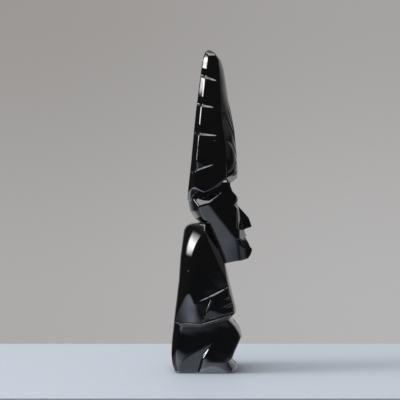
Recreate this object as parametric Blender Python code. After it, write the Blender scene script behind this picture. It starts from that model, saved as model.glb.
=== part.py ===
"""Obsidian totem: a standing idol with a tall pointed headdress, cut from one block of black obsidian.

The figure faces -Y and stands on its flat underside, with its origin in the middle of its base.
Sizes below are in millimetres, as (forward, up) or (across, forward, up), where forward is -Y.
Three blanks (body, head, headdress) are joined, and the stone is then lapped flat and cut with wheels.
Every cut is made on both sides alike. A flat is a point on it and the direction it faces.
"""
import bmesh
import bpy
from mathutils import Matrix, Vector

MM = 0.001

# Outlines seen from the side, each running upwards as (forward, up).
BODY_BACK = [(-22.8, 0.0), (-24.4, 5.6), (-25.0, 11.4), (-24.9, 18.4), (-23.1, 35.9), (-20.5, 57.5),
             (-19.6, 71.5), (-17.4, 88.0), (-15.9, 90.4), (-13.0, 91.9), (-7.0, 92.8)]
BODY_FRONT = [(14.8, 0.0), (15.6, 1.0), (15.7, 3.2), (13.6, 5.4), (12.2, 7.2), (13.2, 9.2), (15.2, 14.3),
              (17.6, 19.6), (18.8, 22.4), (17.6, 25.4), (15.2, 29.2), (12.4, 32.2), (11.4, 33.2), (12.6, 34.6),
              (15.1, 36.9), (15.0, 40.3), (12.5, 50.0), (8.5, 67.4), (7.3, 72.1), (-1.0, 92.8)]
HEAD_BACK = [(0.0, 65.3), (-4.0, 79.4), (-6.8, 92.0), (-10.4, 94.4), (-13.8, 99.7), (-15.2, 106.9),
             (-14.5, 117.5)]
SKULL_FRONT = [(8.5, 67.4), (17.8, 69.2), (20.8, 70.4), (20.8, 77.1), (19.2, 80.1), (19.2, 87.6), (16.2, 102.4),
               (15.9, 103.8), (16.4, 106.2), (15.6, 108.6), (12.5, 112.0), (11.3, 115.4), (11.3, 117.5)]
NOSE = [(14.2, 103.4), (16.0, 103.2), (16.6, 102.3), (23.2, 95.0), (24.1, 92.3), (25.0, 89.6), (24.3, 89.0),
        (21.2, 88.2), (14.2, 88.0)]
UPPER_LIP = [(14.2, 89.0), (20.7, 88.0), (20.5, 86.5), (21.9, 83.6), (21.3, 82.2), (14.2, 82.2)]
CHIN = [(10.0, 82.3), (21.3, 82.3), (23.1, 79.1), (23.2, 78.3), (25.0, 76.1), (24.9, 74.9), (24.0, 72.5),
        (22.4, 70.4), (17.9, 69.0), (10.0, 69.0)]
DRESS_BACK = [(-15.2, 106.0), (-14.7, 114.3), (-13.3, 126.4), (-10.2, 159.3), (-6.5, 188.3), (-5.4, 194.6),
              (-4.0, 198.5), (-2.4, 200.0)]
DRESS_FRONT = [(11.4, 106.0), (11.4, 115.5), (15.3, 116.6), (15.9, 120.0), (16.2, 125.5), (15.8, 132.0),
               (15.0, 139.0), (14.2, 148.7), (12.2, 160.6), (10.2, 169.4), (7.6, 187.3), (5.8, 193.4),
               (2.6, 197.4), (-1.0, 200.0)]

# Half-widths seen from the front, each running upwards as (half-width, up).
BODY_WIDTH = [(21.6, 0.0), (22.8, 0.9), (24.7, 5.2), (26.0, 12.8), (26.0, 60.0), (25.4, 80.0), (25.0, 87.0),
              (23.6, 90.6), (20.0, 92.2), (12.0, 92.8)]
HEAD_HALF = 20.4
DRESS_WIDTH = [(22.0, 106.0), (22.8, 114.0), (23.0, 120.0), (22.6, 128.0), (21.4, 140.0), (19.7, 150.0),
               (17.6, 161.0), (15.2, 171.0), (13.2, 180.0), (11.7, 186.0), (9.6, 192.0), (7.2, 196.0),
               (4.4, 198.8), (2.6, 200.0)]

# How the long corners are taken off.
BODY_CORNER = 3.6          # flat along each back corner of the body
DRESS_CORNER = 3.4         # the same on the headdress, narrowing towards its point
BELLY_CROWN = 2.0          # how far the side's front edge lies behind the middle of the belly
TOE_CROWN = 4.5            # and how much more it does at the toes
DRESS_CROWN = [(7.0, 106.0), (7.6, 130.0), (7.8, 142.0), (7.8, 150.0), (6.9, 160.0), (5.2, 168.0), (4.2, 178.0),
               (3.2, 188.0), (1.6, 196.0), (0.6, 200.0)]
DRESS_BOW = [(3.2, 118.0), (3.0, 146.0), (2.0, 156.0), (1.7, 165.0), (1.6, 200.0)]

# Flats lapped on the body: over the buttock, across the shoulder, and between chest and jaw.
BUTTOCK = ((26.0, -12.0, 16.2), (0.94, -0.15, -0.30))
SHOULDER = ((22.6, -13.4, 77.6), (0.745, -0.595, 0.30))
CREASE = ((25.8, 5.0, 64.8), (0.62, 0.71, 0.34))

# Flats lapped on the head: cheek, cheek front, round muzzle, the jaw's long flat, and the occiput.
CHEEK = ((20.4, 2.0, 95.0), (0.994, 0.113, 0.0))
CHEEK_FRONT = ((19.0, 15.2, 95.0), (0.60, 0.80, 0.0))
MUZZLE = ((3.0, 20.0, 87.0), (0.25, 0.968, 0.03))
JAW = ((20.8, -1.9, 103.8), (0.972, -0.135, -0.192))
JAW_FRONT = ((18.1, 13.1, 79.4), (0.975, -0.05, -0.22))
OCCIPUT = ((17.0, -10.0, 101.0), (0.62, -0.76, -0.2))
NOSE_SIDE = ((5.2, 19.2, 89.5), (0.807, 0.498, 0.318))
LIP_SIDE = ((2.0, 21.2, 86.0), (0.25, 0.968, 0.03))
CHIN_SIDE = ((17.7, 20.4, 76.0), (0.62, 0.78, 0.0))
CHIN_TOP = ((17.7, 18.0, 79.3), (0.78, 0.45, 0.43))
JAW_END = ((17.6, 13.6, 78.0), (0.975, -0.035, -0.22))

# Under the headdress: the flat under its front edge, its lower edge, as (forward, up, climb for each mm outwards), and the channel's two walls.
VISOR = ((4.0, 16.1, 121.0), (0.20, 0.60, -0.77))
EAVE = [(-30.0, 124.0, 1.0), (-13.0, 115.4, 1.0), (-5.2, 111.2, 0.3), (3.3, 114.4, 0.1), (7.9, 118.3, 0.1),
        (16.0, 120.0, 0.1)]
EAVE_HALF = 22.6
EAVE_REACH = (15.0, 32.0)
TEMPLE = ((20.0, 1.0, 107.6), (0.84, -0.286, 0.464))
CHANNEL = ((17.4, -4.0, 108.0), (0.975, -0.19, -0.08))

# Steps up the headdress's back corners: (height at the back, forward and up where it runs out, rise).
TIERS = [(184.2, 3.4, 180.2, 4.0), (166.4, 1.6, 163.8, 2.4), (148.6, 4.4, 146.4, 2.2), (125.0, 3.6, 129.8, 2.4)]
TIER_LEDGE = 0.8           # run of the ledge for each mm of depth
TIER_CORNER = 4.6          # how far round the back corner a step starts

# Rays on the headdress's front, which spread from one foot, as (across, up).
RAY_FOOT = (3.5, 131.5)
RAY_ENDS = [(20.6, 144.9), (15.3, 161.0), (12.0, 177.5), (5.0, 184.0)]
RAY_START = 0.24           # share of the way from the foot where each starts
RAY_WIDTH = 1.2
RAY_DEPTH = 0.5

# The band's chevrons: (height at the middle, across where it turns, across and up where it ends).
CHEVRONS = [(132.0, 11.0, 22.0, 123.0), (126.4, 8.0, 20.5, 118.4)]
CHEVRON_FALL = 0.9         # from the middle to the turn

# The belt's upper edge, where it turns, and the flats above it behind the elbow, in front of it and under the hand.
BELT_TURN = (-6.8, 30.5)
BELT_CLIMB = 0.284         # level behind the turn, and climbing this much for each mm in front of it
BELT_HALF = 26.0
BELT_STEP = 0.25           # how much higher each flat over the belt stops than the one behind it
BELT_NOTCH = (1.9, 1.1)    # height and depth of the notch over the belt
FLANK = ((26.0, -10.1, 45.3), (0.97, -0.20, -0.12))
UNDER_ELBOW = ((26.0, -10.1, 45.6), (0.985, 0.05, -0.085))
ELBOW_FRONT = ((26.0, -0.7, 46.9), (0.25, 0.947, -0.32))
FOREARM_UNDER = ((26.0, -10.1, 45.0), (0.0, -0.42, 0.907))
UNDER_HAND = ((25.7, 4.0, 45.0), (0.99, 0.03, -0.10))
HAND_UNDER = ((26.0, 1.0, 38.4), (0.2, 0.45, 0.87))
HAND_BACK = ((26.0, -0.2, 44.0), (0.15, 0.98, 0.05))

# Straight V grooves: (start, end, outward, width, depth at each end).
GROOVES = {
    "forearm_back": ((26.0, -10.6, 45.0), (26.0, -1.0, 48.9), (1.0, 0.0, 0.0), 2.6, (0.2, 1.4)),
    "forearm_front": ((26.0, -1.0, 48.9), (25.0, 13.8, 56.6), (1.0, 0.0, 0.0), 2.6, (1.4, 0.3)),
    "finger_upper": ((26.0, 2.0, 43.5), (25.0, 14.4, 48.5), (1.0, 0.2, 0.0), 1.2, (0.2, 0.8)),
    "finger_lower": ((26.0, 2.6, 39.0), (25.0, 14.4, 44.4), (1.0, 0.2, 0.0), 1.2, (0.2, 0.8)),
    "mouth": ((3.0, 19.6, 82.1), (13.0, 17.2, 82.0), (0.25, 1.0, 0.0), 1.0, (0.5, 0.5)),
    "eye": ((3.4, 16.4, 103.4), (17.5, 12.8, 105.8), (0.2, 1.0, 0.0), 2.2, (0.8, 1.1)),
}

# The notch behind the knee: its shallow hollow, steep front wall, and the wall where it turns down.
HOLLOW = ((23.2, -6.4, 11.0), (0.905, 0.199, -0.38))
HOLLOW_WALL = ((23.2, -6.4, 11.0), (0.713, -0.607, 0.33))
HOLLOW_HEEL = ((23.2, -6.4, 11.0), (0.5, -0.85, 0.044))

# The gap between the legs in front.
LEG_GAP_DEEPEST = 9.5
LEG_GAP_TOP = 31.0
LEG_GAP_OPENING = 0.575    # half-width for each mm forward


def at(across, forward, up):
    """A place on the stone, in metres."""
    return Vector((across, -forward, up)) * MM


def read(profile, up):
    """The first number of a profile at one height, with the last number of each row as its height."""
    for low, high in zip(profile, profile[1:]):
        if up <= high[-1]:
            break
    share = min(max((up - low[-1]) / (high[-1] - low[-1]), 0.0), 1.0)
    return low[0] + (high[0] - low[0]) * share


def heights(*profiles):
    """Every height at which one of these profiles turns."""
    return sorted({row[-1] for profile in profiles for row in profile})


def make_object(name, bm):
    """Close a bmesh into an object with its faces pointing out."""
    bmesh.ops.remove_doubles(bm, verts=bm.verts, dist=1e-6)
    bmesh.ops.recalc_face_normals(bm, faces=bm.faces)
    mesh = bpy.data.meshes.new(name)
    bm.to_mesh(mesh)
    bm.free()
    obj = bpy.data.objects.new(name, mesh)
    bpy.context.collection.objects.link(obj)
    return obj


def add_tube(bm, rings):
    """Skin a closed block through rings with the same number of points."""
    loops = [[bm.verts.new(place) for place in ring] for ring in rings]
    count = len(loops[0])
    for lower, upper in zip(loops, loops[1:]):
        for i in range(count):
            j = (i + 1) % count
            bm.faces.new((lower[i], lower[j], upper[j], upper[i]))
    bm.faces.new(loops[0])
    bm.faces.new(loops[-1])


def loft(name, levels, half_ring):
    """A closed block through one ring a level, from half_ring(up): its points from mid-back to mid-front."""
    rings = []
    for up in levels:
        half = half_ring(up)
        ring = half + [(-across, forward) for across, forward in reversed(half[1:-1])]
        rings.append([at(across, forward, up) for across, forward in ring])
    bm = bmesh.new()
    add_tube(bm, rings)
    return make_object(name, bm)


def slab(name, outline, half):
    """A flat-sided block with this outline seen from the side."""
    bm = bmesh.new()
    add_tube(bm, [[at(side * half, forward, up) for forward, up in outline] for side in (1.0, -1.0)])
    return make_object(name, bm)


def mark_cutter(obj):
    """A cutter takes stone away and isn't part of the object."""
    obj.hide_render = True
    obj.display_type = "WIRE"


def boolean(target, cutter, operation="DIFFERENCE"):
    """Cut a block with a cutter, or join it to one."""
    mark_cutter(cutter)
    modifier = target.modifiers.new(cutter.name, "BOOLEAN")
    modifier.operation = operation
    modifier.solver = "EXACT"
    modifier.object = cutter


def cut_beyond(target, name, flats, low=(0.5, -45.0, -5.0), high=(45.0, 45.0, 205.0)):
    """Take away what lies beyond all of these flats, within a box, on both sides."""
    bm = bmesh.new()
    for side in (1.0, -1.0):
        middle = [(a + b) / 2 for a, b in zip(low, high)]
        size = [b - a for a, b in zip(low, high)]
        scale = Matrix.Diagonal((size[0] * MM, size[1] * MM, size[2] * MM, 1.0))
        place = Matrix.Translation(at(side * middle[0], middle[1], middle[2])) @ scale
        corners = bmesh.ops.create_cube(bm, size=1.0, matrix=place)["verts"]
        for point, normal in flats:
            faces = {face for vert in corners for face in vert.link_faces}
            edges = {edge for vert in corners for edge in vert.link_edges}
            facing = Vector((side * normal[0], -normal[1], normal[2])).normalized()
            geometry = list(corners) + list(edges) + list(faces)
            cut = bmesh.ops.bisect_plane(bm, geom=geometry, plane_co=at(side * point[0], point[1], point[2]),
                                         plane_no=facing, clear_inner=True)["geom_cut"]
            rim = [item for item in cut if isinstance(item, bmesh.types.BMEdge)]
            if rim:
                bmesh.ops.edgeloop_fill(bm, edges=rim)
            corners = [vert for vert in bm.verts if vert.co.x * side > 0]
    if bm.faces:
        boolean(target, make_object(name, bm))


def groove(target, name, start, end, outward, width, depths):
    """A straight V groove between two places on the surface, with its depth at each, on both sides."""
    a = Vector(start)
    b = Vector(end)
    out = Vector(outward).normalized()
    across = (b - a).cross(out).normalized()
    over = 2.0
    deepest = max(depths)
    rings = []
    for place, depth in ((a, depths[0]), (b, depths[1])):
        spread = across * width / 2 * (over + depth) / deepest
        rings.append([place - out * depth, place + out * over + spread, place + out * over - spread])
    bm = bmesh.new()
    for side in (1.0, -1.0):
        add_tube(bm, [[at(side * p.x, p.y, p.z) for p in ring] for ring in rings])
    boolean(target, make_object(name, bm))


def body_ring(up):
    """Legs, belly, back and shoulders."""
    back = read(BODY_BACK, up)
    front = read(BODY_FRONT, up)
    half = read(BODY_WIDTH, up)
    toes = min(max((9.0 - up) / 5.0, 0.0), 1.0)
    crown = BELLY_CROWN + TOE_CROWN * toes
    corner = min(BODY_CORNER, (front - back) / 4)
    return [(0.0, back), (half - corner, back + 0.1), (half, back + corner), (half, front - crown),
            (0.75 * half, front - 0.35 * crown), (0.4 * half, front - 0.05), (0.0, front)]


def dress_ring(up):
    """The tall headdress: flat back, lapped back corners, flat sides and a bowed wedge of a front."""
    back = read(DRESS_BACK, up)
    front = read(DRESS_FRONT, up)
    half = read(DRESS_WIDTH, up)
    crown = min(read(DRESS_CROWN, up), (front - back) / 2)
    bow = read(DRESS_BOW, up)
    corner = min(DRESS_CORNER * half / 12.0, DRESS_CORNER, (front - back) / 4)
    return [(0.0, back), (half - corner, back + 0.05), (half, back + corner), (half, front - crown),
            (0.7 * half, front - 0.7 ** bow * crown), (0.4 * half, front - 0.4 ** bow * crown), (0.0, front)]


def make_head():
    """The head and neck, with the nose, lip and chin joined on and the flats lapped."""
    head = slab("head_blank", SKULL_FRONT + list(reversed(HEAD_BACK)), HEAD_HALF)
    cut_beyond(head, "cheek_front", [CHEEK_FRONT])
    cut_beyond(head, "muzzle", [MUZZLE])
    for name, outline, side in (("nose", NOSE, NOSE_SIDE), ("lip", UPPER_LIP, LIP_SIDE), ("chin", CHIN, CHIN_SIDE)):
        feature = slab(name, outline, HEAD_HALF)
        cut_beyond(feature, name + "_side", [side])
        if name == "chin":
            cut_beyond(feature, "chin_top", [CHIN_TOP])
            cut_beyond(feature, "jaw_end", [JAW_END])
        boolean(head, feature, "UNION")
    cut_beyond(head, "cheek", [CHEEK])
    cut_beyond(head, "jaw", [JAW])
    cut_beyond(head, "jaw_front", [JAW_FRONT])
    cut_beyond(head, "occiput", [OCCIPUT])
    cut_beyond(head, "channel", [TEMPLE, CHANNEL])
    return head


def cut_eave(dress):
    """Trim the headdress's lower edge over the cheeks."""
    inner, outer = EAVE_REACH
    bm = bmesh.new()
    for side in (1.0, -1.0):
        rings = []
        for across in (inner, outer):
            top = [(forward, up + climb * (across - EAVE_HALF)) for forward, up, climb in EAVE]
            ring = top + [(EAVE[-1][0], 100.0), (EAVE[0][0], 100.0)]
            rings.append([at(side * across, forward, up) for forward, up in ring])
        add_tube(bm, rings)
    boolean(dress, make_object("eave", bm))


def cut_tiers(totem):
    """Cut the feathers' steps up both back corners: a long scoop that ends on a short ledge."""
    for number, (back_up, end, end_up, rise) in enumerate(TIERS, 1):
        half = read(DRESS_WIDTH, back_up)
        corner = TIER_CORNER * min((half - 3.0) / 8.0, 1.0)
        start = Vector((half - corner, read(DRESS_BACK, back_up) - 0.2, back_up))
        finish = Vector((read(DRESS_WIDTH, end_up), end, end_up))
        out = Vector((finish.y - start.y, start.x - finish.x, 0.0)).normalized()
        axle = (finish - start).normalized().cross(out)
        axle = axle if axle.z > 0 else -axle
        flats = [(start, out - axle / rise), (start, out + axle / TIER_LEDGE)]
        cut_beyond(totem, "tier_%d" % number, flats, (0.5, -30.0, back_up - 12.0), (40.0, 15.0, back_up + 14.0))


def dress_front(across, up):
    """A place on the headdress's front."""
    share = abs(across) / read(DRESS_WIDTH, up)
    return (across, read(DRESS_FRONT, up) - read(DRESS_CROWN, up) * share ** read(DRESS_BOW, up), up)


def cut_dress_front(totem):
    """Cut the rays that climb outwards, and the band's chevrons."""
    foot, foot_up = RAY_FOOT
    for number, (across, up) in enumerate(RAY_ENDS, 1):
        start = dress_front(foot + RAY_START * (across - foot), foot_up + RAY_START * (up - foot_up))
        groove(totem, "ray_%d" % number, start, dress_front(across, up), (0.3, 0.95, 0.1), RAY_WIDTH,
               (RAY_DEPTH, 0.4))
    for number, (up, turn, end, end_up) in enumerate(CHEVRONS, 1):
        corner = dress_front(turn, up - CHEVRON_FALL)
        groove(totem, "chevron_%d" % number, dress_front(1.0, up), corner, (0.1, 1.0, 0.0), RAY_WIDTH,
               (RAY_DEPTH, RAY_DEPTH))
        groove(totem, "chevron_side_%d" % number, corner, dress_front(end, end_up), (0.6, 0.8, 0.0), RAY_WIDTH,
               (RAY_DEPTH, RAY_DEPTH))


def cut_belt(totem):
    """Cut the notch over the belt, and the flats above it that leave the forearm and the hand proud."""
    height, depth = BELT_NOTCH
    turn, level = BELT_TURN
    inner = ((BELT_HALF - depth, 0.0, level), (1.0, 0.0, 0.0))
    for name, climb, back, front in (("belt_back", 0.0, -40.0, turn + 0.8), ("belt_front", BELT_CLIMB, turn, 24.0)):
        lower = ((BELT_HALF, turn, level + 0.2), (0.5, -climb, 1.0))
        upper = ((BELT_HALF, turn, level + height), (0.0, climb, -1.0))
        cut_beyond(totem, name, [lower, upper, inner], (20.0, back, 20.0), (34.0, front, 50.0))
    low = (18.0, -40.0, 20.0)
    high = (34.0, 24.0, 58.0)
    sides = {"flank": [FLANK],
             "elbow": [UNDER_ELBOW, reverse(ELBOW_FRONT), reverse(FOREARM_UNDER)],
             "hand": [UNDER_HAND, reverse(HAND_UNDER), reverse(HAND_BACK)]}
    for number, (name, flats) in enumerate(sides.items(), 1):
        rest = level + BELT_STEP * number
        above = [((BELT_HALF, turn, rest), (0.7, -climb, 1.0)) for climb in (0.0, BELT_CLIMB)]
        cut_beyond(totem, name, flats + above, low, high)


def reverse(flat):
    """The same flat facing the other way."""
    point, normal = flat
    return (point, tuple(-n for n in normal))


def cut_knee_hollows(totem):
    """Cut the notch between thigh and calf."""
    low = (12.0, -32.0, -5.0)
    high = (40.0, 10.0, 26.0)
    cut_beyond(totem, "hollow_upper", [HOLLOW, HOLLOW_WALL], low, high)
    cut_beyond(totem, "hollow_lower", [HOLLOW, HOLLOW_HEEL], low, high)


def cut_leg_gap(totem):
    """Part the legs in front."""
    opening = LEG_GAP_OPENING * 25.0
    rings = []
    for up in (-3.0, LEG_GAP_TOP):
        deepest = LEG_GAP_DEEPEST + 0.02 * up
        rings.append([at(0.0, deepest, up), at(opening, deepest + 25.0, up), at(-opening, deepest + 25.0, up)])
    bm = bmesh.new()
    add_tube(bm, rings)
    boolean(totem, make_object("leg_gap", bm))


def stone():
    """Polished black obsidian."""
    material = bpy.data.materials.new("obsidian")
    material.use_nodes = True
    shader = material.node_tree.nodes["Principled BSDF"]
    shader.inputs["Base Color"].default_value = (0.006, 0.006, 0.007, 1.0)
    shader.inputs["Roughness"].default_value = 0.06
    shader.inputs["Metallic"].default_value = 0.0
    return material


def build():
    """Shape and join the three blanks, and cut the stone."""
    totem = loft("totem", heights(BODY_BACK, BODY_FRONT, BODY_WIDTH), body_ring)
    cut_beyond(totem, "buttock", [BUTTOCK])
    cut_beyond(totem, "shoulder", [SHOULDER])
    cut_beyond(totem, "crease", [CREASE])
    cut_belt(totem)
    cut_knee_hollows(totem)
    cut_leg_gap(totem)
    dress = loft("headdress_blank", heights(DRESS_BACK, DRESS_FRONT, DRESS_WIDTH, DRESS_CROWN), dress_ring)
    cut_beyond(dress, "visor", [VISOR])
    cut_eave(dress)
    cut_tiers(dress)
    cut_dress_front(dress)
    boolean(totem, make_head(), "UNION")
    boolean(totem, dress, "UNION")
    for name, cut in GROOVES.items():
        groove(totem, name, *cut)
    totem.data.materials.append(stone())


for old in list(bpy.data.objects):
    bpy.data.objects.remove(old, do_unlink=True)
build()
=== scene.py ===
import math

import bpy
import numpy as np
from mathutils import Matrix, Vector

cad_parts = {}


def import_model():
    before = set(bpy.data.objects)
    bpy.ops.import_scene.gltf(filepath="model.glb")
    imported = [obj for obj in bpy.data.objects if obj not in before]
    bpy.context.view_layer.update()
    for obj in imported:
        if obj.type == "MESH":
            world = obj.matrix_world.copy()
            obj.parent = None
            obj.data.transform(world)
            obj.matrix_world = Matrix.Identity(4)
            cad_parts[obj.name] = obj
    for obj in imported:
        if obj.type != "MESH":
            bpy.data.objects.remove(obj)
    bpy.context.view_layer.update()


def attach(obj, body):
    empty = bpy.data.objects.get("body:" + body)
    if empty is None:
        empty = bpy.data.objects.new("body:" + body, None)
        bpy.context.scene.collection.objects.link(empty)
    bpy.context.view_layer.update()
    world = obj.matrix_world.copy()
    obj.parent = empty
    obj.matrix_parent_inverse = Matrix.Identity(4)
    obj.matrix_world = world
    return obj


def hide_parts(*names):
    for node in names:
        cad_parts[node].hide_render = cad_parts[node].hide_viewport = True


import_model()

# ---------------------------------------------------------------------------------------------
# The stone: one block of black obsidian, sawn to a standing idol with a tall pointed headdress.
# It is roughed out from its side and front outlines, lapped flat on its faces, cut with thin
# diamond wheels, and polished all over, so every edge is a little soft.
# Sizes are millimetres, across (from the middle), forward (towards -Y) and up.
# ---------------------------------------------------------------------------------------------
MM = 0.001
EDGE = 0.3


def read(profile, up):
    """The first number of a profile at these heights; each row's last number is its height."""
    rows = np.array(profile)
    return np.interp(up, rows[:, -1], rows[:, 0])


def flow(profile, up):
    """The same, with the profile's corners drawn into one smooth line."""
    return sum(share * read(profile, up + step) for step, share in
               ((-6.0, 0.06), (-4.0, 0.12), (-2.0, 0.19), (0.0, 0.26), (2.0, 0.19), (4.0, 0.12), (6.0, 0.06)))


def outline(points, across, up):
    """Distance to an outline, less than zero inside it."""
    nearest = np.full(across.shape, 1e9)
    sign = np.ones(across.shape)
    for (x0, y0), (x1, y1) in zip(points, points[-1:] + points[:-1]):
        ex, ey = x1 - x0, y1 - y0
        wx, wy = across - x0, up - y0
        share = np.clip((wx * ex + wy * ey) / (ex * ex + ey * ey), 0.0, 1.0)
        nearest = np.minimum(nearest, (wx - ex * share) ** 2 + (wy - ey * share) ** 2)
        above, below, left = up >= y0, up < y1, ex * wy > ey * wx
        sign = np.where((above & below & left) | ~(above | below | left), -sign, sign)
    return sign * np.sqrt(nearest)


def behind(profile, forward, up):
    """Distance to a front outline, with the stone behind it."""
    return outline([(-90.0, profile[0][1])] + profile + [(-90.0, profile[-1][1])], forward, up)


def before(profile, forward, up):
    """Distance to a back outline, with the stone in front of it."""
    return outline([(90.0, profile[0][1])] + profile + [(90.0, profile[-1][1])], forward, up)


def lap(p, point, normal):
    """Distance above a flat that is ground through a point."""
    n = np.array(normal) / np.linalg.norm(normal)
    return sum((p[i] - point[i]) * n[i] for i in range(3))


def soft_max(a, b, r=EDGE):
    """The larger of two distances: what both leave, with the edge between them rounded over."""
    h = np.maximum(r - np.abs(a - b), 0.0) / r
    return np.maximum(a, b) + h * h * r * 0.25


def soft_min(a, b, r=EDGE):
    """The smaller of two distances: both together, with the corner between them filled a little."""
    return -soft_max(-a, -b, r)


def corner_flat(p, half, back, width, turn=math.radians(45.0)):
    """Distance above the narrow flat that takes off a back corner."""
    return (p[0] - half) * np.cos(turn) - (p[1] - back - width) * np.sin(turn)


# body: legs, belly, back and shoulders. Outlines are (forward or across, up), and each flat is
# a place on it with the way it faces
BODY_BACK = [(-22.8, 0.0), (-24.4, 5.6), (-25.0, 11.4), (-24.9, 18.4), (-23.1, 35.9), (-20.5, 57.5),
             (-19.6, 71.5), (-17.4, 88.0), (-15.9, 90.4), (-13.0, 91.9), (-7.0, 92.8)]
BODY_FRONT = [(14.8, 0.0), (15.6, 1.0), (15.7, 3.2), (13.6, 5.4), (12.2, 7.2), (13.2, 9.2), (15.2, 14.3),
              (17.6, 19.6), (18.8, 22.4), (17.6, 25.4), (15.2, 29.2), (12.4, 32.2), (11.4, 33.2),
              (12.6, 34.6), (15.1, 36.9), (15.0, 40.3), (12.5, 50.0), (8.5, 67.4), (7.3, 72.1), (-1.0, 92.8)]
BODY_WIDTH = [(22.0, 0.0), (23.2, 0.9), (25.8, 7.0), (26.0, 12.8), (26.0, 60.0),
              (25.4, 80.0), (25.0, 91.4), (20.0, 92.5), (8.0, 92.8)]
BELT = [(30.5, -30.0), (30.5, -6.8), (35.3, 10.1), (38.2, 20.0)]
FOOT = ((26.0, 2.0, 12.5), (0.97, -0.04, -0.22))
FOOT_BASE = ((24.1, 0.0, 4.5), (0.93, -0.04, -0.36))
SHOULDER = ((22.6, -13.4, 77.6), (0.745, -0.595, 0.30))
SHOULDER_TOP = ((20.0, -8.0, 91.6), (0.50, -0.42, 0.76))
CREASE = ((25.8, 5.0, 64.8), (0.62, 0.71, 0.34))


def body(p):
    across, forward, up = p
    half = read(BODY_WIDTH, up)
    share = np.clip(across / 26.0, 0.0, 1.2)
    toes = np.clip((9.0 - up) / 5.0, 0.0, 1.0)
    d = behind(BODY_FRONT, forward + (2.0 + 4.5 * toes) * share ** (4.0 - 1.6 * toes), up)
    d = soft_max(d, before(BODY_BACK, forward, up))
    below = np.minimum(up - read(BELT, forward), 0.0)
    cove = 0.9 * (1.0 - np.exp(below / 4.0)) + 0.6 * (1.0 - np.exp(below / 1.3))
    d = soft_max(d, outline([(-90.0, 0.0)] + BODY_WIDTH + [(-90.0, 92.8)], across + cove, up), 1.0)
    d = soft_max(d, corner_flat(p, half, read(BODY_BACK, up), 3.6, math.radians(54.0)))
    foot_side = lap(p, *FOOT) + (forward - 2.0) ** 2 / 78.0
    foot_edge = lap(p, *FOOT_BASE) + forward ** 2 / 50.0
    d = soft_max(d, soft_min(soft_max(foot_side, foot_edge, 0.6), forward + 7.5), 0.4)
    edge = 13.1 + 0.034 * np.minimum(forward + 7.9, 0.0) ** 2
    buttock = 0.96 * (across - 26.0) - 0.24 * (up - edge)
    d = soft_max(d, soft_min(buttock, -(forward + 6.0)), 1.0)
    (a0, f0, z0), normal = SHOULDER
    level = ((across - a0) * normal[1] - (forward - f0) * normal[0]) / 0.953
    crown = level ** 2 / 62.0 + (np.maximum(up, 68.0) - z0 - 3.4) ** 2 / 105.0
    crown = crown + 0.18 * np.maximum(68.0 - up, 0.0)
    d = soft_max(d, lap(p, *SHOULDER) + crown, 1.5)
    d = soft_max(d, lap(p, *SHOULDER_TOP), 0.6)
    return soft_max(d, lap(p, *CREASE), 0.5)


# head and neck: flat cheeks, the long flat of the jaw, and a wedge-cut face
HEAD_BACK = [(0.0, 65.3), (-4.0, 79.4), (-6.8, 92.0), (-10.4, 94.4), (-13.8, 99.7), (-15.2, 106.9),
             (-14.5, 117.5)]
SKULL_FRONT = [(8.5, 67.4), (17.8, 69.2), (20.8, 70.4), (20.8, 77.1), (19.2, 80.1), (19.2, 87.6),
               (16.2, 102.4), (15.9, 103.8), (16.4, 106.2), (15.6, 108.6), (12.5, 112.0), (11.3, 115.4),
               (11.3, 119.0)]
NOSE = [(14.2, 103.4), (16.0, 103.2), (16.6, 102.3), (23.2, 95.0), (24.1, 92.3), (25.0, 89.6), (24.3, 89.0),
        (21.2, 88.2), (14.2, 88.0)]
UPPER_LIP = [(14.2, 89.0), (20.7, 88.0), (20.5, 86.5), (21.9, 83.6), (21.3, 82.2), (14.2, 82.2)]
CHIN = [(10.0, 82.2), (21.3, 82.2), (23.1, 79.1), (23.2, 78.3), (25.0, 76.1), (24.9, 74.9), (24.0, 72.5),
        (22.4, 70.4), (17.9, 69.0), (10.0, 69.0)]
CHEEK = ((20.4, 2.0, 95.0), (0.994, 0.113, 0.0))
CHEEK_FRONT = ((19.0, 15.2, 95.0), (0.60, 0.80, 0.0))
MUZZLE = ((3.0, 20.0, 87.0), (0.25, 0.968, 0.03))
CHIN_SIDE = ((17.7, 20.4, 76.0), (0.62, 0.78, 0.0))
CHIN_TOP = ((17.7, 18.0, 79.3), (0.78, 0.45, 0.43))
JAW_END = ((17.6, 13.6, 78.0), (0.975, -0.035, -0.22))
JAW = ((20.8, -1.9, 103.8), (0.972, -0.135, -0.192))
JAW_FRONT = ((18.1, 13.1, 79.4), (0.975, -0.05, -0.22))
TEMPLE = ((20.0, 1.0, 107.6), (0.84, -0.286, 0.464))
CHANNEL = ((17.4, -4.0, 108.0), (0.98, -0.19, 0.0))


def head(p):
    across, forward, up = p
    d = behind(SKULL_FRONT, forward, up)
    d = soft_max(d, soft_max(lap(p, *CHEEK_FRONT), lap(p, *MUZZLE), 0.4), 0.5)
    nose = soft_max(outline(NOSE, forward, up), lap(p, (5.2, 19.2, 89.5), (0.807, 0.498, 0.318)), 0.5)
    lip = soft_max(outline(UPPER_LIP, forward, up), lap(p, (2.0, 21.2, 86.0), MUZZLE[1]), 0.4)
    chin = soft_max(outline(CHIN, forward, up), soft_max(lap(p, *CHIN_SIDE), lap(p, *CHIN_TOP)), 0.4)
    chin = soft_max(chin, lap(p, *JAW_END))
    d = soft_min(d, soft_min(nose, np.minimum(lip, chin)), 0.4)
    d = soft_max(d, lap(p, *CHEEK), 0.4)
    d = soft_max(d, before(HEAD_BACK, forward - 6.0 * (across / 19.5) ** 2.6, up), 0.6)
    d = soft_max(d, lap(p, *JAW), 0.5)
    d = soft_max(d, lap(p, *JAW_FRONT), 0.4)
    return soft_max(d, soft_min(lap(p, *TEMPLE), lap(p, *CHANNEL), 0.3), 0.3)


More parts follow.
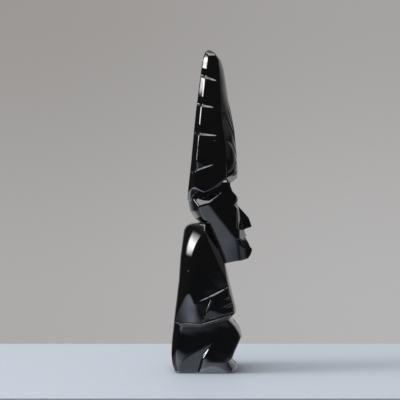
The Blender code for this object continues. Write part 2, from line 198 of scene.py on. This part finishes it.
# headdress: a tall flat-sided cap with a wedge front, standing over the head like an eave
DRESS_BACK = [(-15.2, 106.0), (-14.7, 114.3), (-13.3, 126.4), (-10.2, 159.3), (-6.5, 188.3), (-5.4, 194.6),
              (-4.0, 198.5), (-2.4, 200.0)]
DRESS_FRONT = [(11.4, 106.2), (11.4, 115.5), (15.3, 116.6), (15.9, 120.0), (16.2, 125.5), (15.8, 132.0),
               (15.0, 139.0), (14.2, 148.7), (12.2, 160.6), (10.2, 169.4), (7.6, 187.3), (5.8, 193.4),
               (2.6, 197.4), (-1.0, 200.0)]
DRESS_WIDTH = [(23.0, 100.0), (23.0, 120.0), (22.8, 128.0), (21.4, 140.0), (19.9, 150.0),
               (17.6, 161.0), (15.2, 171.0), (13.2, 180.0), (10.6, 192.0), (8.4, 202.0), (7.4, 207.0)]
DRESS_CROWN = [(7.0, 116.0), (7.6, 130.0), (7.8, 142.0), (8.0, 150.0), (6.9, 160.0), (5.2, 168.0),
               (4.2, 178.0), (3.2, 188.0), (1.0, 197.0), (0.3, 200.0)]
DRESS_BOW = [(3.2, 118.0), (3.0, 146.0), (2.0, 156.0), (1.7, 165.0), (1.6, 200.0)]
EAVE = [(-30.0, 124.0), (-5.2, 111.2), (3.3, 114.4), (7.9, 118.1), (9.6, 118.8), (30.0, 118.8)]
EAVE_SLOPE = [(-30.0, 1.1), (-13.0, 1.0), (-7.0, -0.3), (7.0, -0.3), (10.0, 0.17), (30.0, 0.17)]
VISOR = ((4.0, 16.1, 121.0), (0.20, 0.60, -0.77))


# four tiers of feathers up the back corners: each a slanting scoop that ends on a short ledge
# (height at the back, place and height where it runs out on the side, rise of the scoop, depth)
TIERS = [(183.6, 3.4, 180.2, 5.0, 1.7), (165.6, 1.6, 163.8, 5.4, 1.5), (147.8, 4.4, 146.4, 5.2, 1.6),
         (124.0, 3.6, 129.8, 5.0, 1.5)]
LEDGE = 0.8


def tiers(across, forward, up, half):
    """How much deeper the stone is cut here by the tiers."""
    cut = np.zeros(across.shape)
    for back_up, end, end_up, rise, depth in TIERS:
        back = float(read(DRESS_BACK, back_up))
        run = np.clip((forward - back) / (end - back), 0.0, 1.0)
        height = up - back_up - (end_up - back_up) * run
        notch = np.clip(np.minimum(height / LEDGE + 1.0, 1.0 - height / rise), 0.0, 1.0)
        cut = np.maximum(cut, depth * (1.0 - run) ** 0.8 * notch)
    return cut * np.clip((across - half + 7.5) / 4.0, 0.0, 1.0)


def headdress(p):
    across, forward, up = p
    half = flow(DRESS_WIDTH, up)
    share = np.clip(across / np.maximum(half, 0.5), 0.0, 1.15)
    slim = np.clip((half - 4.6) / 6.0, 0.0, 1.0)
    crown = flow(DRESS_CROWN, up) * share ** flow(DRESS_BOW, up)
    d = behind(DRESS_FRONT, forward + crown, up)
    d = soft_max(d, lap(p, *VISOR))
    taper = (half - flow(DRESS_WIDTH, up + 0.5)) / 0.5
    side = (across - half) / np.sqrt(1.0 + taper ** 2)
    turn = np.radians(np.interp(up, (150.0, 156.0, 164.0, 185.0), (56.0, 48.0, 46.0, 40.0)))
    side = soft_max(side, corner_flat(p, half, read(DRESS_BACK, up), 3.4 * slim, turn), 0.6)
    d = soft_max(d, side + tiers(across, forward, up, half), 0.5)
    d = soft_max(d, before(DRESS_BACK, forward, up))
    d = soft_max(d, (up - 200.0 + across ** 2 / 26.0) * 0.85, 0.8)
    eave = np.interp(forward, *zip(*EAVE)) + np.interp(forward, *zip(*EAVE_SLOPE)) * (across - 22.6) - up
    return soft_max(d, eave * 0.75, 0.15)


# the blanks, each with the heights that it lies between, and the cuts made in them afterwards
PARTS = [(-5.0, 96.0, body), (64.0, 121.0, head), (104.0, 205.0, headdress)]
CUTS = []


def carve(low, high, tool, soft=EDGE):
    """Queue a cut: its reach as a box, and the tool that makes it."""
    CUTS.append((low, high, tool, soft))


def unit(v):
    v = np.array(v, float)
    return v / np.linalg.norm(v)


def wheel(p, deepest, outward, along, radius, slopes):
    """Inside a thin cutting wheel with a V edge, held with its rim deepest at one point. The two
    sides of the V slope away from the rim, above and below, by these runs for each step of depth."""
    out = unit(outward)
    run = unit(np.array(along) - out * np.dot(along, out))
    axle = np.cross(run, out)
    axle = axle if axle[2] > 0 else -axle
    hub = np.array(deepest) + out * radius
    q = [p[i] - hub[i] for i in range(3)]
    h = sum(q[i] * axle[i] for i in range(3))
    r = np.sqrt(np.maximum(sum(q[i] * q[i] for i in range(3)) - h * h, 0.0)) - radius
    above = (r + h / slopes[0]) / math.hypot(1.0, 1.0 / slopes[0])
    below = (r - h / slopes[1]) / math.hypot(1.0, 1.0 / slopes[1])
    return np.maximum(above, below)


def wheel_cut(start, end, outward, depth, slopes, soft=EDGE):
    """Queue a wheel cut between two places on the surface, deepest midway."""
    a, b = np.array(start), np.array(end)
    out = unit(outward)
    chord = np.linalg.norm(b - a) / 2.0
    radius = (chord * chord + depth * depth) / (2.0 * depth)
    deepest = (a + b) / 2.0 - out * depth
    margin = 3.0 + depth * max(slopes)
    carve(np.minimum(a, b) - margin, np.maximum(a, b) + margin,
          lambda p: wheel(p, deepest, out, b - a, radius, slopes), soft)


def dress_front(across, up):
    """The place on the headdress's front at this distance from the middle and this height."""
    share = min(abs(across) / float(flow(DRESS_WIDTH, up)), 1.0)
    bow = float(flow(DRESS_CROWN, up)) * share ** float(flow(DRESS_BOW, up))
    return (across, float(read(DRESS_FRONT, up)) - bow, up)


# the crown's front: rays that spread from one foot, and the band's two chevrons
RAY_FOOT = (3.5, 131.5)
for across, up in ((20.6, 144.9), (15.3, 161.0), (12.0, 177.5), (5.0, 184.0)):
    start = [RAY_FOOT[i] + 0.24 * ((across, up)[i] - RAY_FOOT[i]) for i in range(2)]
    wheel_cut(dress_front(*start), dress_front(across, up), (0.3, 0.95, 0.1), 0.4, (0.6, 0.6))
for middle_up, turn, foot, foot_up in ((132.0, 11.0, 22.4, 123.0), (126.4, 8.0, 20.5, 118.4)):
    bend = dress_front(turn, middle_up - 0.9)
    wheel_cut(dress_front(-1.0, middle_up), bend, (0.0, 1.0, 0.0), 0.45, (0.6, 0.5))
    bend = dress_front(turn - 1.0, middle_up - 0.5)
    wheel_cut(bend, dress_front(foot, foot_up), (0.5, 0.87, 0.0), 0.5, (0.5, 0.4))

# forearm's upper edge, belt, fingers, mouth and eye: (start, end, outward, depth, slopes)
GROOVES = [
    ((26.0, -10.8, 43.8), (25.4, 15.4, 56.9), (1.0, 0.0, 0.0), 0.85, (16.0, 1.4)),
    ((26.0, -11.4, 43.5), (26.0, 8.0, 53.2), (1.0, 0.0, 0.0), 1.3, (9.0, 1.55)),
    ((26.0, 0.6, 46.6), (25.8, -3.6, 35.6), (1.0, 0.0, 0.0), 0.5, (0.5, 1.0)),
    ((26.0, 2.0, 43.2), (25.4, 14.8, 48.5), (1.0, 0.2, 0.0), 0.22, (0.8, 1.5)),
    ((26.0, 2.6, 39.0), (25.4, 12.0, 42.9), (1.0, 0.2, 0.0), 0.22, (0.8, 1.5)),
    ((-9.0, 18.8, 82.0), (9.0, 18.8, 82.0), (0.0, 1.0, 0.0), 0.6, (0.35, 0.35)),
    ((3.0, 16.6, 103.4), (19.2, 14.4, 103.6), (0.25, 1.0, 0.0), 1.3, (1.0, 1.0)),
]
for groove in GROOVES:
    wheel_cut(*groove)


def over_belt(p):
    """Above the belt's narrow upper ledge, which slopes in to the waist."""
    return read(BELT, p[1]) + 0.12 * (26.0 - p[0]) - p[2]


def flank(p):
    """The flat behind the elbow, leaning in to the belt."""
    bow = (p[1] + 12.5) ** 2 / np.where(p[1] < -12.5, 70.0, 150.0)
    return np.maximum(-lap(p, (26.1, -10.1, 45.3), (0.97, -0.20, -0.12)) - bow, over_belt(p))


def under_elbow(p):
    """The darker flat in front of the flank, below the forearm."""
    side = -lap(p, (26.0, -10.1, 45.6), (0.985, 0.05, -0.085))
    front = lap(p, (26.0, -0.5, 46.9), (-0.35, 0.89, -0.30))
    top = lap(p, (26.0, -10.1, 43.9), (0.0, -0.42, 0.907))
    return np.maximum(np.maximum(np.maximum(side, front), top), over_belt(p))


def under_hand(p):
    """The flat between hand and belt."""
    return np.maximum(-lap(p, (25.9, 0.3, 38.4), (0.989, -0.046, -0.14)), over_belt(p))


carve((18.0, -40.0, 26.0), (40.0, 6.0, 56.0), flank, 0.2)
carve((18.0, -14.0, 26.0), (40.0, 14.0, 56.0), under_elbow, 0.2)
carve((18.0, -14.0, 26.0), (40.0, 16.0, 56.0), under_hand, 0.2)
carve((18.0, -40.0, 26.0), (40.0, 24.0, 40.0),
      lambda p: np.maximum(over_belt(p), np.maximum(p[2] - read(BELT, p[1]) - 1.9, 24.9 - p[0])), 0.2)


def knee_hollow(p):
    """The notch between thigh and calf: a steep wall in front of a shallow hollow."""
    hollow = lap(p, (22.6, -6.4, 11.0), (0.905, 0.199, -0.38))
    wall = lap(p, (22.6, -6.4, 11.0), (0.713, -0.607, 0.33))
    heel = lap(p, (22.6, -6.4, 11.0), (0.5, -0.85, 0.044))
    return np.maximum(-hollow, -np.maximum(wall, heel))


carve((12.0, -30.0, -2.0), (40.0, 10.0, 26.0), knee_hollow)


def leg_gap(p):
    """The shallow V that parts the legs in front."""
    return np.maximum(p[0] * 0.87 - (p[1] - 9.5 - 0.02 * p[2]) * 0.5, p[2] - 31.0)


carve((0.0, 5.0, -2.0), (10.0, 30.0, 33.0), leg_gap)


# waves in the flats: (height, turn for each millimetre across, forward and up, where it starts)
WAVES = [(0.016, 0.31, 0.22, 0.46, 0.4), (0.013, -0.37, 0.51, 0.19, 2.1),
         (0.011, 0.12, -0.43, 0.58, 4.0), (0.008, 0.66, 0.37, -0.61, 1.3)]


def hand_ground(points):
    """The slight waviness that grinding by hand leaves in the flats, fading out at the underside."""
    wave = np.zeros(len(points))
    for reach, across, forward, up, start in WAVES:
        wave += reach * np.sin(points[:, 0] * across + points[:, 1] * forward + points[:, 2] * up + start)
    return wave * np.clip(points[:, 2] / 3.0, 0.0, 1.0)


def stone_distance(points):
    """Distance from each point to the finished surface, less than zero inside the stone."""
    p = [np.abs(points[:, 0]), -points[:, 1], points[:, 2]]
    d = np.full(len(points), 6.0)
    for low, high, part in PARTS:
        pick = np.flatnonzero((p[2] > low) & (p[2] < high))
        if len(pick):
            q = [c[pick] for c in p]
            d[pick] = soft_min(d[pick], part(q), 0.3)
    for low, high, tool, soft in CUTS:
        pick = np.flatnonzero((p[0] >= low[0]) & (p[0] <= high[0]) & (p[1] >= low[1]) & (p[1] <= high[1])
                              & (p[2] >= low[2]) & (p[2] <= high[2]))
        if len(pick):
            q = [c[pick] for c in p]
            d[pick] = soft_max(d[pick], -tool(q), soft)
    return d + hand_ground(points)


def skin(distance, low, high, size, levels):
    """A mesh of the surface where a distance is zero: corners (mm) and four-cornered faces.
    Blocks far from the surface are dropped, and the rest are halved down to cells of one size.
    The surface is then followed into any cell that was dropped too soon, so that the mesh closes.
    Where two bits of stone would meet only along a line, the corner between them is filled."""
    block = size * 2 ** levels
    count = np.ceil((np.array(high) - low) / block).astype(int) + 2
    grid = np.stack(np.meshgrid(*[np.arange(-1, c) for c in count], indexing="ij"), -1).reshape(-1, 3)
    for level in range(levels, -1, -1):
        step = size * 2 ** level
        middle = low + (grid + 0.5) * step
        grid = grid[np.abs(distance(middle)) < step * 1.3 + 1.2]
        if level:
            corners = np.array([(i, j, k) for i in (0, 1) for j in (0, 1) for k in (0, 1)])
            grid = (grid[:, None, :] * 2 + corners[None]).reshape(-1, 3)
    base = grid.min(axis=0) - 2
    span = (grid.max(axis=0) - base + 4).astype(np.int64)

    def key(cells):
        c = cells - base
        return (c[..., 0] * span[1] + c[..., 1]) * span[2] + c[..., 2]

    offsets = np.array([(i, j, k) for i in (0, 1) for j in (0, 1) for k in (0, 1)])
    around = np.array([(i, j, k) for i in (-1, 0, 1) for j in (-1, 0, 1) for k in (-1, 0, 1)])
    sides = ((0, 1, 3, 2), (4, 5, 7, 6), (0, 1, 5, 4), (2, 3, 7, 6), (0, 2, 6, 4), (1, 3, 7, 5))
    seen, value = np.empty(0, dtype=np.int64), np.empty(0)
    fresh = grid
    while len(fresh):
        unique, back = np.unique(key(fresh[:, None, :] + offsets[None]), return_inverse=True)
        places = np.stack([unique // (span[1] * span[2]), unique // span[2] % span[1], unique % span[2]], 1)
        seen = np.concatenate([seen, unique])
        value = np.concatenate([value, distance(low + (places + base) * size)])
        inside = (value[-len(unique):] < 0)[back].reshape(-1, 8)
        onward = []
        for number, side in enumerate(sides):
            way = np.zeros(3, dtype=int)
            way[number // 2] = 2 * (number % 2) - 1
            crossed = inside[:, side].any(axis=1) & ~inside[:, side].all(axis=1)
            onward.append(fresh[crossed] + way)
        onward = np.unique(np.concatenate(onward), axis=0)
        onward = onward[~np.isin(key(onward), key(grid))]
        fresh = np.unique((onward[:, None, :] + around[None]).reshape(-1, 3), axis=0)
        fresh = fresh[~np.isin(key(fresh), key(grid))]
        grid = np.concatenate([grid, fresh])
    unique, first = np.unique(seen, return_index=True)
    value = value[first]
    back = np.searchsorted(unique, key(grid[:, None, :] + offsets[None]))
    for side in sides * 3:
        values = value[back]
        inside = values < 0
        for turn in range(2):
            a, b, c, d = side[turn:] + side[:turn]
            pinched = inside[:, a] & inside[:, c] & ~inside[:, b] & ~inside[:, d]
            near = np.where(values[pinched, b] < values[pinched, d], back[pinched, b], back[pinched, d])
            value[near] = -0.01 * size
    values = value[back]
    inside = values < 0
    live = inside.any(axis=1) & ~inside.all(axis=1)
    grid, values, inside = grid[live], values[live], inside[live]
    total = np.zeros((len(grid), 3))
    crossings = np.zeros(len(grid))
    edges = [(a, b) for a in range(8) for b in range(a + 1, 8) if np.abs(offsets[a] - offsets[b]).sum() == 1]
    for a, b in edges:
        cross = inside[:, a] != inside[:, b]
        va, vb = values[cross, a], values[cross, b]
        share = (va / (va - vb))[:, None]
        total[cross] += offsets[a] + share * (offsets[b] - offsets[a])
        crossings[cross] += 1
    verts = low + (grid + total / crossings[:, None]) * size
    keys = key(grid)
    order = np.argsort(keys)
    keys_sorted = keys[order]
    faces = []
    for axis in range(3):
        far = 1 << (2 - axis)
        cross = np.flatnonzero(inside[:, 0] != inside[:, far])
        b, c = [(1, 2), (2, 0), (0, 1)][axis]
        eb, ec = np.eye(3, dtype=int)[b], np.eye(3, dtype=int)[c]
        ring = [grid[cross], grid[cross] - eb, grid[cross] - eb - ec, grid[cross] - ec]
        found = np.stack([np.searchsorted(keys_sorted, key(cells)) for cells in ring], 1)
        quad = order[np.minimum(found, len(order) - 1)]
        flip = ~inside[cross, 0]
        quad[flip] = quad[flip][:, ::-1]
        faces.append(quad)
    return verts, np.concatenate(faces)


def polish(verts, faces, passes):
    """Draw each corner a little towards its neighbours, as a buff does: edges soften, flats stay flat."""
    a = faces.ravel()
    b = np.roll(faces, -1, axis=1).ravel()
    count = np.bincount(a, minlength=len(verts)) + np.bincount(b, minlength=len(verts))
    for _ in range(passes):
        mean = np.empty_like(verts)
        for i in range(3):
            mean[:, i] = np.bincount(a, verts[b, i], len(verts)) + np.bincount(b, verts[a, i], len(verts))
        verts = verts + 0.6 * (mean / count[:, None] - verts)
    return verts


# the mesh: width of its cells, the box it is sought in, and its triangles once thinned
CELL = 0.36
TRIANGLES = 190000.0
corner_low = np.array((-27.0, -26.0, -1.0))
corner_high = np.array((27.0, 26.0, 201.0))
verts, faces = skin(stone_distance, corner_low, corner_high, CELL, 3)
verts = polish(verts, faces, 2)
mesh = bpy.data.meshes.new("obsidian_totem")
mesh.from_pydata((verts * MM).tolist(), [], faces.tolist())
mesh.update()
mesh.shade_smooth()
stone = bpy.data.objects.new("obsidian_totem", mesh)
bpy.context.collection.objects.link(stone)
thin = stone.modifiers.new("thin", "DECIMATE")
thin.ratio = TRIANGLES / (2.0 * len(faces))
stone.modifiers.new("level", "WEIGHTED_NORMAL")
bpy.context.view_layer.objects.active = stone
for name in ("thin", "level"):
    bpy.ops.object.modifier_apply(modifier=name)


class Shade:
    """A number, colour or place inside a node tree, which ordinary sums turn into more nodes."""

    def __init__(self, tree, socket=None):
        self.tree = tree
        self.socket = socket

    def node(self, kind, settings, sockets, output=0):
        """Any node: its type, then its settings, then what its sockets are given."""
        made = self.tree.nodes.new(kind)
        for name, value in settings.items():
            setattr(made, name, value)
        for name, value in sockets.items():
            if isinstance(value, Shade):
                self.tree.links.new(value.socket, made.inputs[name])
            else:
                made.inputs[name].default_value = value
        return Shade(self.tree, made.outputs[output])

    def math(self, operation, a, b=0.0):
        return self.node("ShaderNodeMath", {"operation": operation}, {0: a, 1: b})

    def __add__(self, other):
        return self.math("ADD", self, other)

    def __radd__(self, other):
        return self.math("ADD", other, self)

    def __sub__(self, other):
        return self.math("SUBTRACT", self, other)

    def __rsub__(self, other):
        return self.math("SUBTRACT", other, self)

    def __mul__(self, other):
        return self.math("MULTIPLY", self, other)

    def __rmul__(self, other):
        return self.math("MULTIPLY", other, self)

    def __abs__(self):
        return self.math("ABSOLUTE", self)

    def larger(self, other):
        return self.math("MAXIMUM", self, other)

    def ramp(self, start, end, low=0.0, high=1.0):
        """A smooth change between two levels as this value goes from start to end."""
        return self.node("ShaderNodeMapRange", {"interpolation_type": "SMOOTHSTEP"},
                         {0: self, "From Min": start, "From Max": end, "To Min": low, "To Max": high})

    def mix(self, low, high):
        """A colour between two, by this value."""
        return self.node("ShaderNodeMix", {"data_type": "RGBA"}, {0: self, 6: low, 7: high}, 2)

    def scaled(self, factor):
        """A place or direction, stretched."""
        return self.node("ShaderNodeVectorMath", {"operation": "SCALE"}, {0: self, "Scale": factor})

    def noise(self, size, detail=2.0):
        """Cloudy noise with clouds of about this size."""
        return self.node("ShaderNodeTexNoise", {}, {0: self, "Scale": 1.0 / size, "Detail": detail})


# polished volcanic glass: black, with a faint haze where the polish is thin, a lighter bluish-grey
# and rougher band just above the base, and a few specks of dust
obsidian = bpy.data.materials.new("obsidian")
obsidian.use_nodes = True
tree = obsidian.node_tree
place = Shade(tree).node("ShaderNodeTexCoord", {}, {}, "Object").scaled(1000.0)
forward = 0.0 - place.node("ShaderNodeSeparateXYZ", {}, {0: place}, "Y")
up = place.node("ShaderNodeSeparateXYZ", {}, {0: place}, "Z")
cloud = place.noise(14.0)
fine = place.noise(0.9, 3.0)
grain = place.node("ShaderNodeTexVoronoi", {}, {0: place, "Scale": 0.34}, "Distance")
pick = place.node("ShaderNodeTexVoronoi", {}, {0: place, "Scale": 0.34}, "Color")
chosen = pick.node("ShaderNodeSeparateColor", {}, {0: pick}, "Red")
speck = grain.ramp(0.075, 0.04) * chosen.ramp(0.72, 0.74)
base_line = 4.3 - forward * forward * 0.045 + fine * 0.5
dull = (up - base_line).ramp(0.6, -0.3) * forward.ramp(-7.6, -7.2)
haze = cloud.ramp(0.5, 0.78) * 0.4 + fine.ramp(0.55, 0.8) * 0.25
colour = haze.mix((0.0035, 0.0035, 0.004, 1.0), (0.007, 0.0065, 0.007, 1.0))
colour = dull.mix(colour, (0.19, 0.21, 0.23, 1.0))
colour = speck.mix(colour, (0.62, 0.62, 0.60, 1.0))
rough = 0.045 + haze * 0.05 + dull * 0.25 + speck * 0.6
shader = tree.nodes["Principled BSDF"]
tree.links.new(colour.socket, shader.inputs["Base Color"])
tree.links.new(rough.socket, shader.inputs["Roughness"])
shader.inputs["IOR"].default_value = 2.0
mesh.materials.append(obsidian)
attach(stone, "root")
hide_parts("totem")

# ---------------------------------------------------------------------------------------------
# The stage: a pale table, a plain backdrop, one large window and a skylight. The table isn't
# mirrored, and the room that the stone mirrors is drawn in the World with soft edges instead.
# ---------------------------------------------------------------------------------------------
bpy.ops.mesh.primitive_cube_add(size=1.0)
floor = bpy.context.object
floor.name = "floor"
for v in floor.data.vertices:
    v.co = Vector((0.005 + 0.254 * v.co.x, 0.05 + 0.44 * v.co.y, 0.02 * v.co.z - 0.01))
pale = bpy.data.materials.new("pale_floor")
pale.use_nodes = True
pale.node_tree.nodes["Principled BSDF"].inputs["Base Color"].default_value = (0.575, 0.63, 0.715, 1.0)
pale.node_tree.nodes["Principled BSDF"].inputs["Roughness"].default_value = 0.6
floor.data.materials.append(pale)
floor.visible_glossy = False

world = bpy.data.worlds.new("studio")
bpy.context.scene.world = world
world.use_nodes = True
world.node_tree.nodes.clear()

# the room as the polished stone mirrors it: a pale wall on the far side, dark by the camera,
# a bright floor by the window and a pale ceiling
sky = Shade(world.node_tree)
direction = sky.node("ShaderNodeTexCoord", {}, {}, "Generated")
x, y, z = [sky.node("ShaderNodeSeparateXYZ", {}, {0: direction}, axis) for axis in "XYZ"]
wall = x.ramp(0.5, 0.94, 0.03, 0.46)
table = z.ramp(-0.13, -0.38) * y.ramp(-0.15, 0.42, 0.10, 0.72) * y.ramp(0.26, 0.42, 1.0, 1.5)
table = table * y.ramp(0.44, 0.75, 1.0, 0.25) + z.ramp(-0.55, -0.85, 0.0, 0.5)
front = y.ramp(-0.3, -0.9, 0.0, 0.14) * x.ramp(-0.15, 0.2) * z.ramp(0.14, 0.26, 0.1, 1.0)
ceiling = z.ramp(0.55, 0.97, 0.0, 0.5)
edge = y.ramp(-0.5, -0.8, 0.0, 0.35) * x.ramp(-0.2, -0.4) * abs(z).ramp(0.1, 0.25, 1.0, 0.0)
pane = abs(x + 0.22).ramp(0.14, 0.26, 1.0, 0.0) * y.ramp(0.0, 0.1) * z.ramp(0.15, 0.36, 0.0, 10.0)
pane = pane * z.ramp(0.38, 0.56, 1.0, 0.0)
level = wall.larger(front).larger(table) + ceiling + pane + edge
tint = (z.ramp(0.02, -0.12) * x.ramp(0.7, 0.3)).mix((1.0, 0.99, 0.985, 1.0), (0.86, 0.95, 1.10, 1.0))
mirrored_room = sky.node("ShaderNodeBackground", {}, {"Color": tint, "Strength": level})
shade = (z.ramp(0.1, -0.1, 0.35, 1.0) - y.ramp(-0.12, 0.12, 0.0, 0.35)).mix((0.33, 0.315, 0.305, 1.0),
                                                                           (0.46, 0.455, 0.455, 1.0))
backdrop = sky.node("ShaderNodeBackground", {}, {"Color": shade})
seen = sky.node("ShaderNodeLightPath", {}, {}, "Is Camera Ray")
mixed = sky.node("ShaderNodeMixShader", {}, {0: seen, 1: mirrored_room, 2: backdrop})
finish = world.node_tree.nodes.new("ShaderNodeOutputWorld")
world.node_tree.links.new(mixed.socket, finish.inputs["Surface"])


def softbox(name, place, aim, size, power, shape="RECTANGLE", mirrored=True):
    """An area light that faces a place; one that isn't mirrored lights the stone but stays unseen in it."""
    light = bpy.data.lights.new(name, "AREA")
    light.shape = shape
    light.size, light.size_y = size
    light.energy = power
    lamp = bpy.data.objects.new(name, light)
    bpy.context.collection.objects.link(lamp)
    lamp.location = place
    lamp.rotation_euler = (Vector(aim) - Vector(place)).to_track_quat("-Z", "Y").to_euler()
    lamp.visible_glossy = mirrored


# an area light's radiance is its power over pi times its area
softbox("window", (-0.17, 1.4, 1.15), (-0.17, 0.0, 1.15), (0.82, 1.2), 5.2 * 0.77 * math.pi, "ELLIPSE",
        mirrored=False)
softbox("skylight", (-0.35, 0.35, 1.6), (-0.35, 0.35, 0.0), (1.7, 1.3), 2.2 * 2.21 * math.pi)

camera_data = bpy.data.cameras.new("camera")
camera_data.lens = 143.8
camera_data.sensor_width = 36.0
camera = bpy.data.objects.new("camera", camera_data)
bpy.context.collection.objects.link(camera)
camera.location = (-1.0, 0.0074, 0.135)
camera.rotation_euler = (Vector((0.0, 0.0074, 0.10605)) - camera.location).to_track_quat("-Z", "Y").to_euler()
bpy.context.scene.camera = camera
bpy.context.scene.view_settings.view_transform = "Standard"
